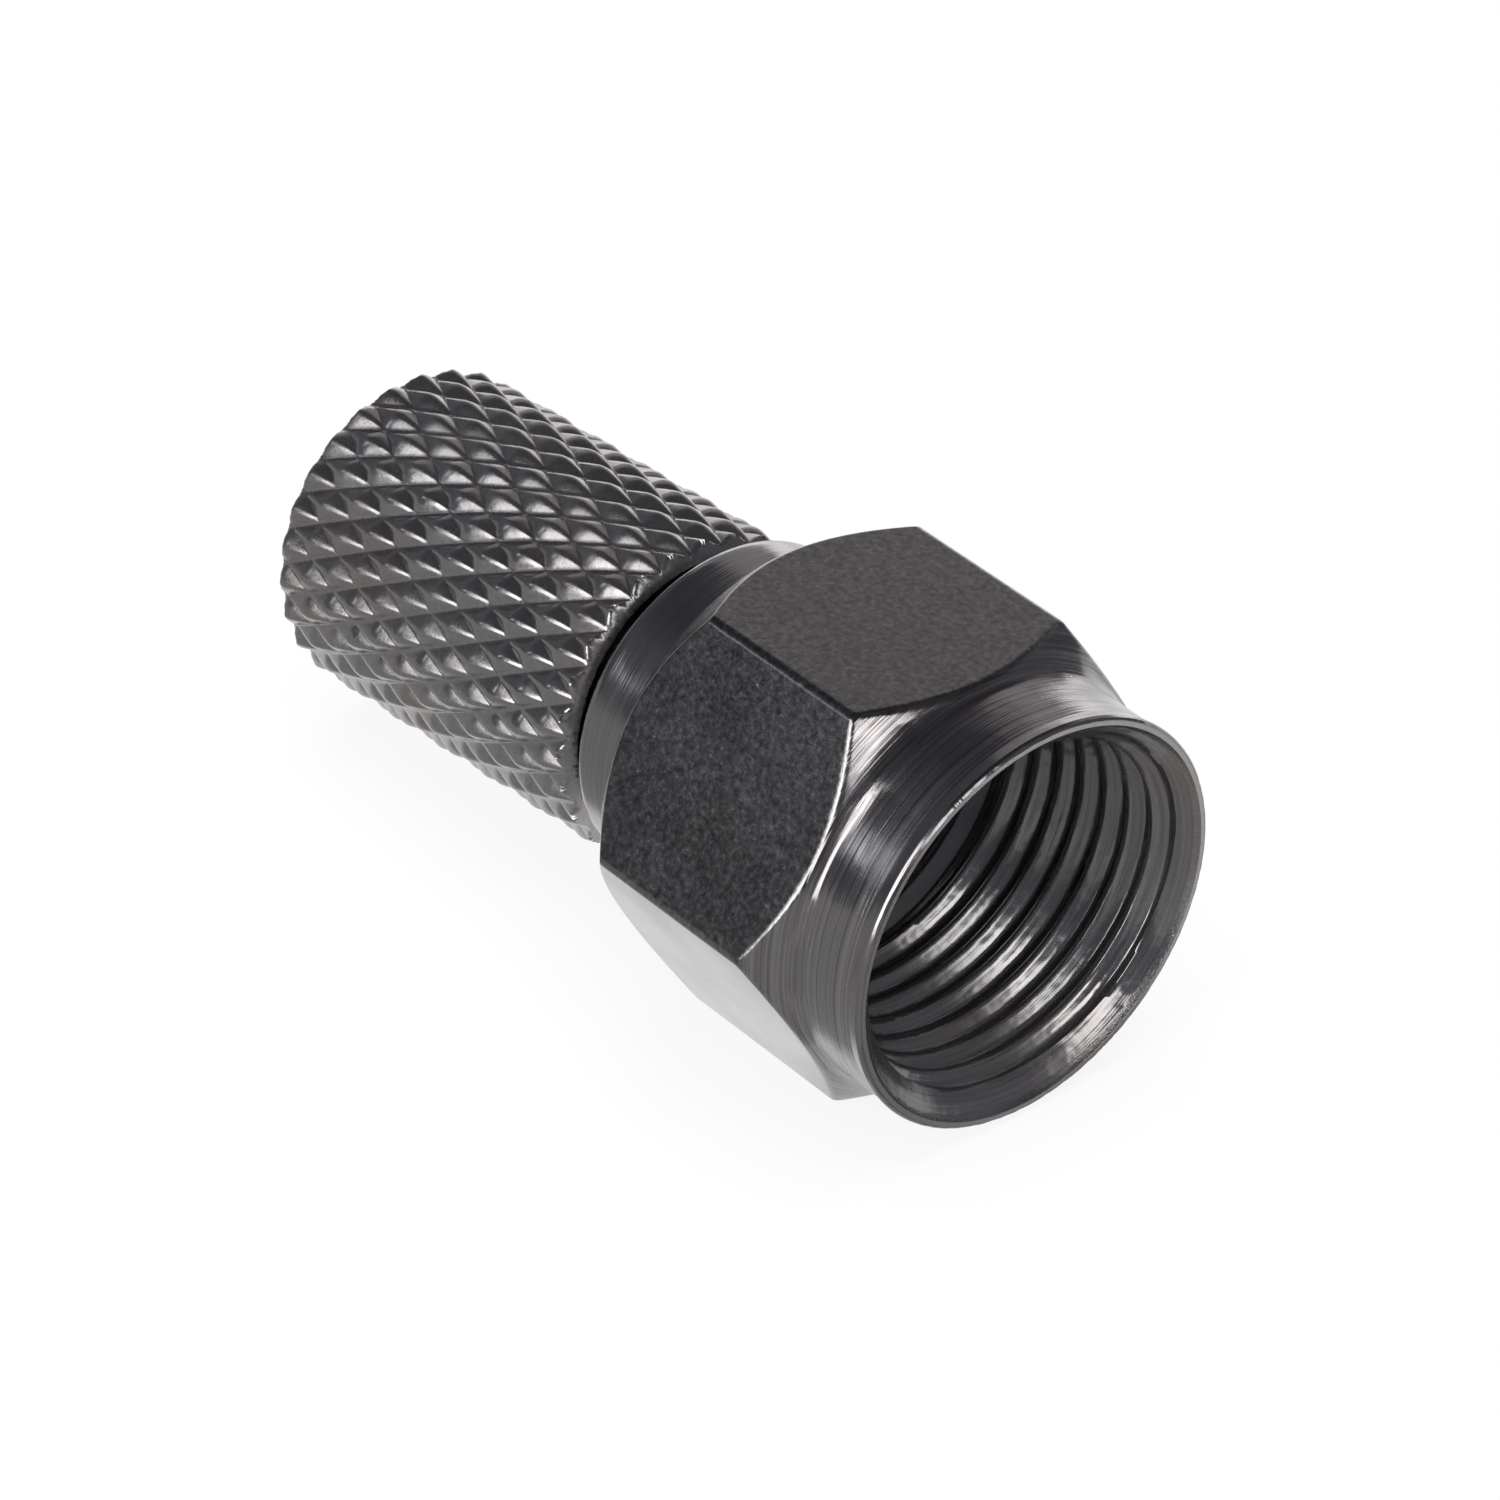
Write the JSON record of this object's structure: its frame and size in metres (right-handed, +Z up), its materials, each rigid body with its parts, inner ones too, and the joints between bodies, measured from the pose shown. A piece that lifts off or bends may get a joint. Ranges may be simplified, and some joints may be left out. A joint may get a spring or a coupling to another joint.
{
  "type": "f connector",
  "caption": "Twist-on coaxial F connector plug: a loose hexagonal coupling nut with an internal port thread turns on a diamond-knurled body that screws on to the cable.",
  "frame": {"origin": "on the coupling nut's axis where the port thread begins, 0.45 mm inside the rim of the mouth", "axes": "+X out of the nut's mouth along its axis, +Z up from the table that the connector lies on"},
  "size_m": [0.0236, 0.0126, 0.011],
  "materials": {
    "nut_metal": "dark nickel plate over turned brass: satin on the hexagon's flats, glossy with fine circular tool marks elsewhere",
    "body_metal": "dark nickel plate over knurled brass, glossy on the knurl's peaks"
  },
  "bodies": {
    "coupling_nut": {"coupling_nut": "nut_metal"},
    "connector_body": {"connector_body": "body_metal"}
  },
  "joints": [
    {"name": "nut_spin", "type": "hinge", "parent": "coupling_nut", "child": "connector_body", "pos_m": [-0.00693, 0, 0], "axis": [0.997, 0, 0.0772], "continuous": true}
  ]
}
